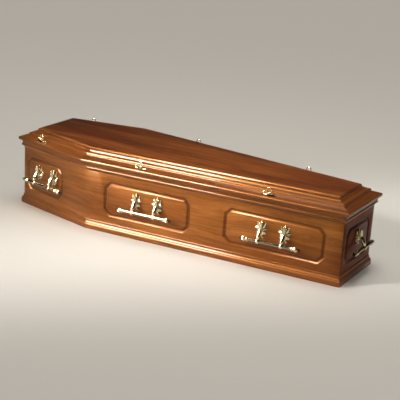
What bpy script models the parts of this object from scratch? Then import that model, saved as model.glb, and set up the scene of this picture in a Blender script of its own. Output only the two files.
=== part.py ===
"""Wooden coffin, closed, with its plinth, cornice, raised lid, bar handles and lid rings.

Units are metres and +Z is up. The origin is on the floor under the middle of the coffin,
+X runs to the foot end, and right and left are those of a person lying in it.
"""

import math

import bmesh
import bpy
from mathutils import Matrix, Vector

# Clearance between pieces that touch
GAP = 0.0003

# Body boards, outside sizes in plan
BODY_LENGTH = 1.900
HEAD_SECTION = 0.5115
HEAD_WIDTH = 0.396
SHOULDER_WIDTH = 0.612
FOOT_WIDTH = 0.364
BODY_HEIGHT = 0.360
BOARD = 0.018
BASE_THICKNESS = 0.018
BEND_REACH = 0.055

# Grooved panels with clipped corners, outer edges of the groove
GROOVE_RADIUS = 0.015
GROOVE_DEPTH = 0.006
PANEL_BOTTOM = 0.087
PANEL_TOP = 0.2795
PANEL_CLIP = 0.033
HEAD_PANEL_FROM_SHOULDER = 0.195
HEAD_PANEL_FROM_CORNER = 0.021
MIDDLE_PANEL_FROM_SHOULDER = 0.096
MIDDLE_PANEL_LENGTH = 0.504
FOOT_PANEL_FROM_CORNER = 0.078
FOOT_PANEL_LENGTH = 0.537
END_PANEL_FROM_CORNER = 0.040

# Plinth moulding
PLINTH_HEIGHT = 0.0505
PLINTH_DEPTH = 0.012
PLINTH_NOSE_HEIGHT = 0.0205
PLINTH_QUIRK_IN = 0.0040
PLINTH_QUIRK_UP = 0.0075
PLINTH_BEAD_IN = 0.0055
PLINTH_BEAD_UP = 0.0140
PLINTH_COVE_IN = 0.0090
PLINTH_COVE_DOWN = 0.0055
PLINTH_TOP_DEPTH = 0.0005

# Cornice moulding under the lid
CORNICE_HEIGHT = 0.044
CORNICE_DEPTH = 0.0135
CORNICE_BAND_DEPTH = 0.010
CORNICE_FOOT_DEPTH = 0.0015
CORNICE_COVE_IN = 0.0050
CORNICE_COVE_UP = 0.0110
CORNICE_BEAD_IN = 0.0010
CORNICE_BEAD_UP = 0.0225
CORNICE_BAND_UP = 0.0240
MOULDING_BACK = 0.010

# Lid moulding and panel, offsets measured from the faces of the body
LID_SHOULDER_SHIFT = 0.028
LID_OVERHANG = 0.0265
LID_SEAT = 0.020
FLANGE_EDGE_HEIGHT = 0.0102
FLANGE_NOSE = 0.007
FLANGE_INNER = 0.0165
FLANGE_RISE = 0.0288
FLANGE_UNDER_ROUND = 0.0025
STEP_IN = 0.0025
STEP_UP = 0.0035
BEAD_INNER = 0.033
BEAD_RISE = 0.0388
QUIRK_IN = 0.0015
QUIRK_UP = 0.0005
HOLLOW_IN = 0.026
HOLLOW_RISE = 0.014
LEDGE_OUTER = 0.050
LEDGE_INNER = 0.085
LEDGE_RISE = 0.0503
LEDGE_THICKNESS = 0.015
LID_PANEL_INSET = 0.056
LID_PANEL_THICKNESS = 0.0152
LID_PANEL_ROUND = 0.010

# Handles
GRIP_HEIGHT = 0.151
GRIP_REACH = 0.038
BAR_RADIUS = 0.0085
BAR_LENGTH = 0.314
END_BAR_LENGTH = 0.250
CAP_LENGTH = 0.046
CAP_RADIUS = 0.0125
BAR_SIDES = 8
PLATE_SPACING = 0.122
PLATE_WIDTH = 0.066
PLATE_HEIGHT = 0.095
PLATE_RISE = 0.050
PLATE_RIM = 0.003
PLATE_RELIEF = 0.0075
PLATE_LEAVES = 9
PLATE_VALLEY = 0.66
PLATE_SPREAD = 0.10
BUD_REACH = 0.0165
BUD_TOP = 0.044
BUD_RADIUS = 0.0125
ARM_RADIUS = 0.0058
EYE_WALL = 0.0042
EYE_WIDTH = 0.015
HEAD_HANDLE_FROM_SHOULDER = 0.330
MIDDLE_HANDLE_FROM_SHOULDER = 0.350
FOOT_HANDLE_FROM_SHOULDER = 1.044

# Ring fittings on the lid
FITTING_OFFSET = 0.003
FITTING_LENGTH = 0.075
FITTING_WIDTH = 0.021
FITTING_PAD = 0.005
RING_RADIUS = 0.0125
RING_WIRE = 0.0021
RING_RISE = 0.0236
SCROLL_RADII = (0.0080, 0.0048, 0.0075)
LEAF_RADII = (0.0120, 0.0056, 0.0055)
STEM_FOOT_RADIUS = 0.0065
STEM_TOP_RADIUS = 0.0030
HEAD_FITTING_FROM_SHOULDER = 0.346
MIDDLE_FITTING_FROM_SHOULDER = 0.336
FOOT_FITTING_FROM_SHOULDER = 1.035

# Shares of a turn
QUARTER_BULGE = math.tan(math.pi / 8)


def fresh_collection(name):
    """Return a new collection under the scene's own."""
    collection = bpy.data.collections.new(name)
    bpy.context.scene.collection.children.link(collection)
    return collection


def finish_material(name, colour, roughness, metallic):
    """Return a Principled material of one colour."""
    material = bpy.data.materials.new(name)
    material.use_nodes = True
    shader = material.node_tree.nodes["Principled BSDF"]
    shader.inputs["Base Color"].default_value = (*colour, 1.0)
    shader.inputs["Roughness"].default_value = roughness
    shader.inputs["Metallic"].default_value = metallic
    return material


for stale in list(bpy.data.objects):
    bpy.data.objects.remove(stale, do_unlink=True)

COFFIN = fresh_collection("wooden_coffin")
CUTTERS = fresh_collection("cutters")
MAHOGANY = finish_material("mahogany_veneer", (0.33, 0.13, 0.045), 0.28, 0.0)
BRASS = finish_material("pale_brass", (0.78, 0.70, 0.50), 0.20, 1.0)


# Mesh helpers

def new_object(name, mesh, collection, material=None):
    """Link a mesh as an object of its own."""
    item = bpy.data.objects.new(name, mesh)
    collection.objects.link(item)
    if material and not mesh.materials:
        mesh.materials.append(material)
    return item


def evaluated_mesh(item):
    """Return the finished, welded mesh of an object and remove the object."""
    depsgraph = bpy.context.evaluated_depsgraph_get()
    mesh = bpy.data.meshes.new_from_object(item.evaluated_get(depsgraph), depsgraph=depsgraph)
    mesh.transform(item.matrix_world)
    bm = bmesh.new()
    bm.from_mesh(mesh)
    bmesh.ops.remove_doubles(bm, verts=bm.verts, dist=1e-6)
    bmesh.ops.recalc_face_normals(bm, faces=bm.faces)
    bm.to_mesh(mesh)
    bm.free()
    bpy.data.objects.remove(item, do_unlink=True)
    return mesh


def curve_object(name, points, cyclic):
    """Return a curve object of one straight-edged spline."""
    curve = bpy.data.curves.new(name, "CURVE")
    spline = curve.splines.new("POLY")
    spline.points.add(len(points) - 1)
    for place, point in zip(spline.points, points):
        place.co = (*point, 1.0)
    spline.use_cyclic_u = cyclic
    return new_object(name, curve, CUTTERS)


def flat_outline(name, points, thickness):
    """Return the mesh of a flat outline, drawn in X and Y, thickened both ways along Z."""
    item = curve_object(name, [(x, y, 0.0) for x, y in points], cyclic=True)
    item.data.dimensions = "2D"
    item.data.fill_mode = "BOTH"
    item.data.extrude = thickness / 2
    return evaluated_mesh(item)


def round_bar(name, points, radii, resolution):
    """Return the mesh of a round bar along a path, closed at its ends."""
    item = curve_object(name, points, cyclic=False)
    item.data.dimensions = "3D"
    item.data.bevel_depth = 1.0
    item.data.bevel_resolution = resolution
    item.data.use_fill_caps = True
    for place, radius in zip(item.data.splines[0].points, radii):
        place.radius = radius
    return evaluated_mesh(item)


def as_cutter(item):
    """Keep an object as a cutting tool only."""
    item.hide_render = True
    item.display_type = "WIRE"
    return item


def boolean(target, tool, operation="DIFFERENCE"):
    """Cut or join one object with another."""
    modifier = target.modifiers.new(operation.lower(), "BOOLEAN")
    modifier.operation = operation
    modifier.solver = "EXACT"
    modifier.object = tool


def joined(name, meshes, bore=None):
    """Return one mesh from several closed ones, less an optional bore."""
    tools = [new_object(name, mesh, CUTTERS) for mesh in meshes]
    body = tools.pop(0)
    for tool in tools:
        boolean(body, tool, "UNION")
    if bore:
        tools.append(new_object(name, bore, CUTTERS))
        boolean(body, tools[-1])
    mesh = evaluated_mesh(body)
    for tool in tools:
        bpy.data.objects.remove(tool, do_unlink=True)
    return mesh


def primitive(operator, matrix, **settings):
    """Return the mesh of a bmesh primitive, placed by a matrix."""
    mesh = bpy.data.meshes.new("primitive")
    bm = bmesh.new()
    operator(bm, **settings)
    bmesh.ops.transform(bm, matrix=matrix, verts=bm.verts)
    bm.to_mesh(mesh)
    bm.free()
    return mesh


def bow(start, end, bulge, steps):
    """Points after the start of an arc; bulge is the tangent of a quarter of its angle."""
    start = Vector(start)
    end = Vector(end)
    chord = end - start
    middle = (start + end) / 2
    side = Vector((-chord.y, chord.x))
    centre = middle + side * (1 - bulge * bulge) / (4 * bulge)
    arm = start - centre
    turn = 4 * math.atan(bulge) / steps
    points = []
    for step in range(1, steps + 1):
        c = math.cos(turn * step)
        s = math.sin(turn * step)
        points.append((centre.x + arm.x * c - arm.y * s, centre.y + arm.x * s + arm.y * c))
    return points


# Plan of the coffin: six corners, counter-clockwise from the head end's right corner

HEAD_RIGHT, SHOULDER_RIGHT, FOOT_RIGHT, FOOT_LEFT, SHOULDER_LEFT, HEAD_LEFT = range(6)
EDGE_NAMES = ("right_head", "right_foot", "foot_end", "left_foot", "left_head", "head_end")
RIGHT_HEAD, RIGHT_FOOT, FOOT_END, LEFT_FOOT, LEFT_HEAD, HEAD_END = range(6)


def plan_corners(shoulder_shift=0.0):
    """Corners of the body's outer faces, with the shoulder moved towards the head."""
    end = BODY_LENGTH / 2
    taper = (SHOULDER_WIDTH - FOOT_WIDTH) / 2 / (BODY_LENGTH - HEAD_SECTION)
    shoulder_x = HEAD_SECTION - end - shoulder_shift
    shoulder_y = SHOULDER_WIDTH / 2 + shoulder_shift * taper
    right = [(-end, -HEAD_WIDTH / 2), (shoulder_x, -shoulder_y), (end, -FOOT_WIDTH / 2)]
    left = [(x, -y) for x, y in reversed(right)]
    return [Vector(corner) for corner in right + left]


BODY_PLAN = plan_corners()
LID_PLAN = plan_corners(LID_SHOULDER_SHIFT)


def edge_direction(plan, edge):
    """Unit vector along an edge of the plan."""
    return (plan[(edge + 1) % 6] - plan[edge]).normalized()


def edge_normal(plan, edge):
    """Unit vector out of an edge of the plan."""
    along = edge_direction(plan, edge)
    return Vector((along.y, -along.x))


def corner_at(plan, corner, offset):
    """The corner of the plan moved outwards by an offset."""
    before = edge_normal(plan, corner - 1 if corner else 5)
    after = edge_normal(plan, corner)
    return plan[corner] + (before + after) * offset / (1 + before.dot(after))


def bend_arc(corner, offset, steps=4):
    """Points round a shoulder of the body, where the side board is bent."""
    before = edge_normal(BODY_PLAN, corner - 1)
    after = edge_normal(BODY_PLAN, corner)
    turn = before.angle(after)
    radius = BEND_REACH / math.tan(turn / 2)
    middle = (before + after).normalized()
    centre = BODY_PLAN[corner] - middle * radius / math.cos(turn / 2)
    start = math.atan2(before.y, before.x)
    points = []
    for step in range(steps + 1):
        angle = start + turn * step / steps
        direction = Vector((math.cos(angle), math.sin(angle)))
        points.append(centre + direction * (radius + offset))
    return points


def body_outline(offset):
    """Closed plan of the body at an offset from its faces, bent at the shoulders."""
    right = [corner_at(BODY_PLAN, HEAD_RIGHT, offset)] + bend_arc(SHOULDER_RIGHT, offset)
    foot = [corner_at(BODY_PLAN, FOOT_RIGHT, offset), corner_at(BODY_PLAN, FOOT_LEFT, offset)]
    left = bend_arc(SHOULDER_LEFT, offset) + [corner_at(BODY_PLAN, HEAD_LEFT, offset)]
    return right + foot + left


def prism(name, outline, bottom, top):
    """Return the mesh of a plan outline raised between two heights."""
    mesh = flat_outline(name, outline, top - bottom)
    mesh.transform(Matrix.Translation((0.0, 0.0, (bottom + top) / 2)))
    return mesh


MITRE_PULL = 0.75 * GAP


def mitred_length(name, section, plan, edge, material=MAHOGANY):
    """One length of a section, drawn as offset and height, mitred at both corners."""
    mesh = flat_outline(name, section, 1.0)
    along = edge_direction(plan, edge)
    for vertex in mesh.vertices:
        offset, height, side = vertex.co
        if side > 0:
            place = corner_at(plan, edge, offset) + along * MITRE_PULL
        else:
            place = corner_at(plan, (edge + 1) % 6, offset) - along * MITRE_PULL
        vertex.co = (place.x, place.y, height)
    return new_object(name, mesh, COFFIN, material)


def facing(plan, edge, along, offset, height):
    """Frame on a face: X along it to the right, Y into it, Z up, seen from outside.

    A long side is measured from its shoulder and an end from its middle.
    """
    direction = edge_direction(plan, edge)
    normal = edge_normal(plan, edge)
    if edge in (RIGHT_FOOT, LEFT_HEAD):
        start = plan[edge] + direction * along
    elif edge in (RIGHT_HEAD, LEFT_FOOT):
        start = plan[edge + 1] - direction * along
    else:
        start = (plan[edge] + plan[(edge + 1) % 6]) / 2 + direction * along
    place = start + normal * offset
    frame = Matrix.Translation((place.x, place.y, height))
    axes = Matrix(((direction.x, -normal.x, 0), (direction.y, -normal.y, 0), (0, 0, 1)))
    return frame @ axes.to_4x4()


# Body boards

def build_base_board():
    """The flat bottom, held inside the walls."""
    outline = body_outline(-BOARD - GAP)
    mesh = prism("base_board", outline, 0.0, BASE_THICKNESS)
    new_object("base_board", mesh, COFFIN, MAHOGANY)


def build_side_board(name, start, shoulder, end):
    """One long side, bent at the shoulder and mitred at its ends."""
    first = edge_direction(BODY_PLAN, start) * MITRE_PULL
    last = edge_direction(BODY_PLAN, shoulder) * MITRE_PULL
    outline = []
    for offset in (0.0, -BOARD):
        head = corner_at(BODY_PLAN, start, offset) + first
        foot = corner_at(BODY_PLAN, end, offset) - last
        line = [head] + bend_arc(shoulder, offset) + [foot]
        outline += line if offset == 0.0 else reversed(line)
    mesh = prism(name, outline, 0.0, BODY_HEIGHT)
    return new_object(name, mesh, COFFIN, MAHOGANY)


def build_end_board(name, edge):
    """One end of the body, mitred to the sides."""
    section = [(-BOARD, 0.0), (0.0, 0.0), (0.0, BODY_HEIGHT), (-BOARD, BODY_HEIGHT)]
    return mitred_length(name, section, BODY_PLAN, edge)


def cut_panel(board, edge, centre, length):
    """Cut a coved groove round a panel with clipped corners."""
    half_groove = math.sqrt(GROOVE_RADIUS**2 - (GROOVE_RADIUS - GROOVE_DEPTH) ** 2)
    x = length / 2 - half_groove
    z = (PANEL_TOP - PANEL_BOTTOM) / 2 - half_groove
    clip = PANEL_CLIP - half_groove * math.tan(math.pi / 8)
    corners = [(x, z - clip), (x - clip, z)]
    corners += [(-px, pz) for px, pz in reversed(corners)]
    corners += [(-px, -pz) for px, pz in corners]
    path = [(px, 0.0, pz) for px, pz in corners]
    item = curve_object(board.name + "_groove", path, cyclic=True)
    item.data.dimensions = "3D"
    item.data.bevel_depth = GROOVE_RADIUS
    item.data.bevel_resolution = 4
    mesh = evaluated_mesh(item)
    height = (PANEL_TOP + PANEL_BOTTOM) / 2
    mesh.transform(facing(BODY_PLAN, edge, centre, GROOVE_RADIUS - GROOVE_DEPTH, height))
    boolean(board, as_cutter(new_object(board.name + "_groove", mesh, CUTTERS)))


def build_body():
    """The five boards of the box, with their grooved panels."""
    build_base_board()
    right = build_side_board("side_board_right", HEAD_RIGHT, SHOULDER_RIGHT, FOOT_RIGHT)
    left = build_side_board("side_board_left", FOOT_LEFT, SHOULDER_LEFT, HEAD_LEFT)
    head_face = (BODY_PLAN[SHOULDER_RIGHT] - BODY_PLAN[HEAD_RIGHT]).length
    foot_face = (BODY_PLAN[FOOT_RIGHT] - BODY_PLAN[SHOULDER_RIGHT]).length
    head_panel = head_face - HEAD_PANEL_FROM_SHOULDER - HEAD_PANEL_FROM_CORNER
    head_centre = HEAD_PANEL_FROM_SHOULDER + head_panel / 2
    middle_centre = MIDDLE_PANEL_FROM_SHOULDER + MIDDLE_PANEL_LENGTH / 2
    foot_centre = foot_face - FOOT_PANEL_FROM_CORNER - FOOT_PANEL_LENGTH / 2
    for board, head_edge, foot_edge in (
        (right, RIGHT_HEAD, RIGHT_FOOT),
        (left, LEFT_HEAD, LEFT_FOOT),
    ):
        cut_panel(board, head_edge, head_centre, head_panel)
        cut_panel(board, foot_edge, middle_centre, MIDDLE_PANEL_LENGTH)
        cut_panel(board, foot_edge, foot_centre, FOOT_PANEL_LENGTH)
    for name, edge, width in (
        ("head_board", HEAD_END, HEAD_WIDTH),
        ("foot_board", FOOT_END, FOOT_WIDTH),
    ):
        board = build_end_board(name, edge)
        cut_panel(board, edge, 0.0, width - 2 * END_PANEL_FROM_CORNER)


# Mouldings round the body

def plinth_section():
    """Nose, quirk, bead, cove and top bead, from the floor up."""
    nose = (PLINTH_DEPTH, PLINTH_NOSE_HEIGHT)
    quirk = (PLINTH_DEPTH - PLINTH_QUIRK_IN, PLINTH_NOSE_HEIGHT + PLINTH_QUIRK_UP)
    bead = (PLINTH_DEPTH - PLINTH_BEAD_IN, PLINTH_NOSE_HEIGHT + PLINTH_BEAD_UP)
    cove = (PLINTH_DEPTH - PLINTH_COVE_IN, PLINTH_HEIGHT - PLINTH_COVE_DOWN)
    top = (PLINTH_TOP_DEPTH, PLINTH_HEIGHT)
    points = [(-MOULDING_BACK, 0.0), (PLINTH_DEPTH, 0.0), nose]
    points += bow(nose, quirk, 0.33, 3)
    points += bow(quirk, bead, 0.75, 3)
    points += bow(bead, cove, -0.30, 3)
    points += bow(cove, top, 0.70, 3)
    return points + [(-MOULDING_BACK, PLINTH_HEIGHT)]


def cornice_section():
    """Cove, bead and flat band, up to the top of the walls."""
    bottom = BODY_HEIGHT - CORNICE_HEIGHT
    foot = (CORNICE_FOOT_DEPTH, bottom)
    cove = (CORNICE_DEPTH - CORNICE_COVE_IN, bottom + CORNICE_COVE_UP)
    bead = (CORNICE_BAND_DEPTH - CORNICE_BEAD_IN, bottom + CORNICE_BEAD_UP)
    band = (CORNICE_BAND_DEPTH, bottom + CORNICE_BAND_UP)
    points = [(-MOULDING_BACK, bottom), foot]
    points += bow(foot, cove, -0.30, 3)
    points += bow(cove, bead, 0.85, 4)
    points += [band, (CORNICE_BAND_DEPTH, BODY_HEIGHT), (-MOULDING_BACK, BODY_HEIGHT)]
    return points


def build_body_mouldings():
    """Six mitred lengths each of plinth and cornice, fitted to the bent sides."""
    outline = body_outline(GAP)
    mesh = prism("body_space", outline, -BODY_HEIGHT, 2 * BODY_HEIGHT)
    body_space = as_cutter(new_object("body_space", mesh, CUTTERS))
    for moulding, section in (("plinth", plinth_section()), ("cornice", cornice_section())):
        for edge, place in enumerate(EDGE_NAMES):
            length = mitred_length(f"{moulding}_{place}", section, BODY_PLAN, edge)
            boolean(length, body_space)


# Lid

LID_BOTTOM = BODY_HEIGHT + GAP


def lid_section():
    """Flange, bead, cove and the ledge that carries the panel, hollow underneath."""
    low = LID_BOTTOM
    under_nose = (LID_OVERHANG, low + FLANGE_UNDER_ROUND)
    edge_top = (LID_OVERHANG, low + FLANGE_EDGE_HEIGHT)
    nose = (LID_OVERHANG - FLANGE_NOSE, low + FLANGE_EDGE_HEIGHT + FLANGE_NOSE)
    flange = (-FLANGE_INNER, low + FLANGE_RISE)
    step = (-FLANGE_INNER - STEP_IN, low + FLANGE_RISE + STEP_UP)
    bead = (-BEAD_INNER, low + BEAD_RISE)
    quirk = (-BEAD_INNER - QUIRK_IN, low + BEAD_RISE + QUIRK_UP)
    ledge = (-LEDGE_OUTER, low + LEDGE_RISE)
    underside = low + LEDGE_RISE - LEDGE_THICKNESS
    points = [(-LID_SEAT, low), (LID_OVERHANG - FLANGE_UNDER_ROUND, low)]
    points += bow(points[-1], under_nose, QUARTER_BULGE, 2)
    points += [edge_top]
    points += bow(edge_top, nose, 0.38, 4)
    points += [flange]
    points += bow(flange, step, -0.35, 2)
    points += bow(step, bead, 0.80, 5)
    points += [quirk]
    points += bow(quirk, ledge, -0.36, 4)
    points += [(-LEDGE_INNER, low + LEDGE_RISE), (-LEDGE_INNER, underside)]
    points += [(-LEDGE_OUTER, underside), (-HOLLOW_IN, low + HOLLOW_RISE)]
    return points


def build_lid():
    """Six mitred lengths of moulding and the raised panel in their middle."""
    section = lid_section()
    for edge, place in enumerate(EDGE_NAMES):
        mitred_length(f"lid_moulding_{place}", section, LID_PLAN, edge)
    outline = [corner_at(LID_PLAN, corner, -LID_PANEL_INSET) for corner in range(6)]
    bottom = LID_BOTTOM + LEDGE_RISE + GAP
    top = bottom + LID_PANEL_THICKNESS
    mesh = prism("lid_panel", outline, bottom, top)
    bm = bmesh.new()
    bm.from_mesh(mesh)
    bmesh.ops.dissolve_limit(bm, angle_limit=0.001, verts=bm.verts, edges=bm.edges)
    middle = (bottom + top) / 2
    rim = [edge for edge in bm.edges if all(vertex.co.z > middle for vertex in edge.verts)]
    bmesh.ops.bevel(bm, geom=rim, offset=LID_PANEL_ROUND, segments=3, profile=0.5, affect="EDGES")
    bm.to_mesh(mesh)
    bm.free()
    new_object("lid_panel", mesh, COFFIN, MAHOGANY)


# Handles, each drawn in a frame with X to the right, Y into the wood and Z up

def leaf_plate():
    """A rosette of pointed leaves with a raised rib along each, its back at Y = 0."""
    mesh = bpy.data.meshes.new("leaf_plate")
    bm = bmesh.new()
    sides = 2 * PLATE_LEAVES
    bmesh.ops.create_cone(bm, cap_ends=True, segments=sides, radius1=1, radius2=1, depth=1)
    front = max(bm.faces, key=lambda face: face.calc_center_median().z)
    bmesh.ops.inset_region(bm, faces=[front], thickness=0.45, use_even_offset=False)
    bmesh.ops.poke(bm, faces=[front])
    for vertex in bm.verts:
        angle = math.atan2(vertex.co.x, vertex.co.y)
        radius = math.hypot(vertex.co.x, vertex.co.y)
        is_front = vertex.co.z > 0
        on_rib = math.cos(angle * PLATE_LEAVES) > 0
        reach = 1.0 if on_rib else PLATE_VALLEY
        if radius < 0.9:
            height = PLATE_RELIEF if on_rib or radius < 0.1 else 0.6 * PLATE_RELIEF
            reach = 0.5 * (1 + reach)
        else:
            height = PLATE_RIM
        spread = 1.0 + PLATE_SPREAD * math.cos(angle)
        x = math.sin(angle) * radius * reach * spread * PLATE_WIDTH / 2
        z = math.cos(angle) * radius * reach * PLATE_HEIGHT / 2
        vertex.co = (x, -height if is_front else 0.0, z)
    bmesh.ops.recalc_face_normals(bm, faces=bm.faces)
    bm.to_mesh(mesh)
    bm.free()
    return mesh


def casting_mesh():
    """Leaf plate, bud, arm and the eye that holds the bar, cast in one."""
    bar_z = -PLATE_RISE
    arm_path = [
        (0.0, -BUD_REACH, BUD_TOP),
        (0.0, -BUD_REACH, 0.70 * BUD_TOP),
        (0.0, -BUD_REACH, 0.20 * BUD_TOP),
        (0.0, -0.70 * GRIP_REACH, -0.16 * PLATE_RISE),
        (0.0, -GRIP_REACH, -0.66 * PLATE_RISE),
        (0.0, -GRIP_REACH, bar_z),
    ]
    radii = [BUD_RADIUS * share for share in (0.25, 1.0, 0.92)]
    radii += [ARM_RADIUS * share for share in (1.15, 1.0, 0.95)]
    arm = round_bar("arm", arm_path, radii, 1)
    at_bar = Matrix.Translation((0.0, -GRIP_REACH, bar_z)) @ Matrix.Rotation(math.pi / 2, 4, "Y")
    bore_radius = BAR_RADIUS + GAP / math.cos(math.pi / BAR_SIDES)
    round_settings = {"cap_ends": True, "segments": BAR_SIDES}
    outer = bore_radius + EYE_WALL
    eye = primitive(bmesh.ops.create_cone, at_bar, radius1=outer, radius2=outer,
                    depth=EYE_WIDTH, **round_settings)
    bore = primitive(bmesh.ops.create_cone, at_bar, radius1=bore_radius, radius2=bore_radius,
                     depth=2 * EYE_WIDTH, **round_settings)
    return joined("casting", [leaf_plate(), arm, eye], bore)


def bar_mesh(length):
    """A turned bar along X with a fluted leafy cap at each end."""
    half = length / 2
    cap = [
        (0.0, half),
        (0.45 * CAP_RADIUS, half - 0.05 * CAP_LENGTH),
        (0.90 * CAP_RADIUS, half - 0.28 * CAP_LENGTH),
        (CAP_RADIUS, half - 0.52 * CAP_LENGTH),
        (0.72 * CAP_RADIUS, half - 0.74 * CAP_LENGTH),
        (0.98 * CAP_RADIUS, half - 0.88 * CAP_LENGTH),
        (BAR_RADIUS, half - CAP_LENGTH),
    ]
    profile = cap + [(radius, -z) for radius, z in reversed(cap)]
    mesh = bpy.data.meshes.new("bar_profile")
    edges = [(i, i + 1) for i in range(len(profile) - 1)]
    mesh.from_pydata([(radius, 0.0, z) for radius, z in profile], edges, [])
    item = new_object("bar_profile", mesh, CUTTERS)
    screw = item.modifiers.new("turned", "SCREW")
    screw.steps = BAR_SIDES
    screw.render_steps = BAR_SIDES
    screw.use_merge_vertices = True
    screw.merge_threshold = 0.0001
    turned = evaluated_mesh(item)
    flute_from = half - 0.60 * CAP_LENGTH
    for vertex in turned.vertices:
        step = round(math.atan2(vertex.co.y, vertex.co.x) / (2 * math.pi / BAR_SIDES))
        if step % 2 and abs(vertex.co.z) > flute_from:
            vertex.co.x *= 0.80
            vertex.co.y *= 0.80
    turned.transform(Matrix.Rotation(math.pi / 2, 4, "Y"))
    return turned


def build_handles():
    """Two castings and a bar on each side place, one casting and a shorter bar on each end."""
    casting = casting_mesh()
    side_bar = bar_mesh(BAR_LENGTH)
    end_bar = bar_mesh(END_BAR_LENGTH)
    pair = (-PLATE_SPACING / 2, PLATE_SPACING / 2)
    places = [
        ("right_head", RIGHT_HEAD, HEAD_HANDLE_FROM_SHOULDER, side_bar, pair),
        ("right_middle", RIGHT_FOOT, MIDDLE_HANDLE_FROM_SHOULDER, side_bar, pair),
        ("right_foot", RIGHT_FOOT, FOOT_HANDLE_FROM_SHOULDER, side_bar, pair),
        ("left_head", LEFT_HEAD, HEAD_HANDLE_FROM_SHOULDER, side_bar, pair),
        ("left_middle", LEFT_FOOT, MIDDLE_HANDLE_FROM_SHOULDER, side_bar, pair),
        ("left_foot", LEFT_FOOT, FOOT_HANDLE_FROM_SHOULDER, side_bar, pair),
        ("head_end", HEAD_END, 0.0, end_bar, (0.0,)),
        ("foot_end", FOOT_END, 0.0, end_bar, (0.0,)),
    ]
    for name, edge, along, bar, shifts in places:
        bar_frame = facing(BODY_PLAN, edge, along, GAP + GRIP_REACH, GRIP_HEIGHT)
        new_object(f"bar_{name}", bar, COFFIN, BRASS).matrix_world = bar_frame
        plate_frame = facing(BODY_PLAN, edge, along, GAP, GRIP_HEIGHT + PLATE_RISE)
        for number, shift in enumerate(shifts, start=1):
            label = f"casting_{name}_{number}" if len(shifts) > 1 else f"casting_{name}"
            item = new_object(label, casting, COFFIN, BRASS)
            item.matrix_world = plate_frame @ Matrix.Translation((shift, 0.0, 0.0))


# Ring fittings, drawn in the same kind of frame with Z = 0 on the sloping flange

def flange_slope():
    """Angle of the flange and its height above the lid's underside at the fittings."""
    outer = LID_OVERHANG - FLANGE_NOSE
    low = FLANGE_EDGE_HEIGHT + FLANGE_NOSE
    grade = (FLANGE_RISE - low) / (outer + FLANGE_INNER)
    return math.atan(grade), low + (outer - FITTING_OFFSET) * grade


def fitting_base(tilt):
    """A leafy pad with a wide middle and two rounded ends, lying on the flange."""
    mesh = primitive(bmesh.ops.create_cone, Matrix.Identity(4), cap_ends=True, segments=16,
                     radius1=1.0, radius2=0.72, depth=1.0)
    for vertex in mesh.vertices:
        x, y, z = vertex.co
        lobes = 0.78 + 0.22 * math.cos(2 * math.pi * x)
        bluntness = max(abs(y), 1e-6) ** -0.35
        y *= lobes * bluntness
        vertex.co = (x * FITTING_LENGTH / 2, y * FITTING_WIDTH / 2, (z + 0.5) * FITTING_PAD)
    mesh.transform(Matrix.Rotation(tilt, 4, "X"))
    return mesh


def fitting_mesh(tilt):
    """Pad, scroll, leaf, stem and upright ring, cast in one."""
    lift = FITTING_PAD / 2
    scroll_place = Matrix.Translation((-0.36 * FITTING_LENGTH, 0.0, lift + SCROLL_RADII[2]))
    leaf_place = Matrix.Translation((0.34 * FITTING_LENGTH, 0.0, lift + LEAF_RADII[2]))
    scroll_size = Matrix.Diagonal((*SCROLL_RADII, 1.0))
    leaf_size = Matrix.Diagonal((*LEAF_RADII, 1.0))
    ball = {"u_segments": 6, "v_segments": 4, "radius": 1.0}
    scroll = primitive(bmesh.ops.create_uvsphere, scroll_place @ scroll_size, **ball)
    leaf = primitive(bmesh.ops.create_uvsphere, leaf_place @ leaf_size, **ball)
    stem_top = RING_RISE - RING_RADIUS
    stem_middle = (FITTING_PAD / 2 + stem_top) / 2
    stem = primitive(bmesh.ops.create_cone, Matrix.Translation((0.0, 0.0, stem_middle)),
                     cap_ends=True, segments=6, radius1=STEM_FOOT_RADIUS,
                     radius2=STEM_TOP_RADIUS,
                     depth=stem_top - FITTING_PAD / 2)
    circle = []
    for step in range(12):
        angle = 2 * math.pi * step / 12
        x = RING_RADIUS * math.cos(angle)
        circle.append((x, 0.0, RING_RISE + RING_RADIUS * math.sin(angle)))
    ring_item = curve_object("ring", circle, cyclic=True)
    ring_item.data.dimensions = "3D"
    ring_item.data.bevel_depth = RING_WIRE
    ring_item.data.bevel_resolution = 1
    ring = evaluated_mesh(ring_item)
    return joined("ring_fitting", [fitting_base(tilt), scroll, leaf, stem, ring])


def build_fittings():
    """Three ring fittings on each long side of the lid."""
    tilt, rise = flange_slope()
    seat = LID_BOTTOM + rise
    mesh = fitting_mesh(tilt)
    clearance = GAP / math.cos(tilt)
    for side, head_edge, foot_edge in (
        ("right", RIGHT_HEAD, RIGHT_FOOT),
        ("left", LEFT_HEAD, LEFT_FOOT),
    ):
        for place, edge, along in (
            ("head", head_edge, HEAD_FITTING_FROM_SHOULDER),
            ("middle", foot_edge, MIDDLE_FITTING_FROM_SHOULDER),
            ("foot", foot_edge, FOOT_FITTING_FROM_SHOULDER),
        ):
            item = new_object(f"ring_fitting_{side}_{place}", mesh, COFFIN, BRASS)
            item.matrix_world = facing(LID_PLAN, edge, along, FITTING_OFFSET, seat + clearance)


build_body()
build_body_mouldings()
build_lid()
build_handles()
build_fittings()
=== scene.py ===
"""Looks of a polished mahogany coffin with brass handles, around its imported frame.

Metres, +Z up, +X towards the foot end. The near long side, which is the right side of a
person lying in it, faces -Y.
"""

import math

import bpy
from mathutils import Matrix, Vector


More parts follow.
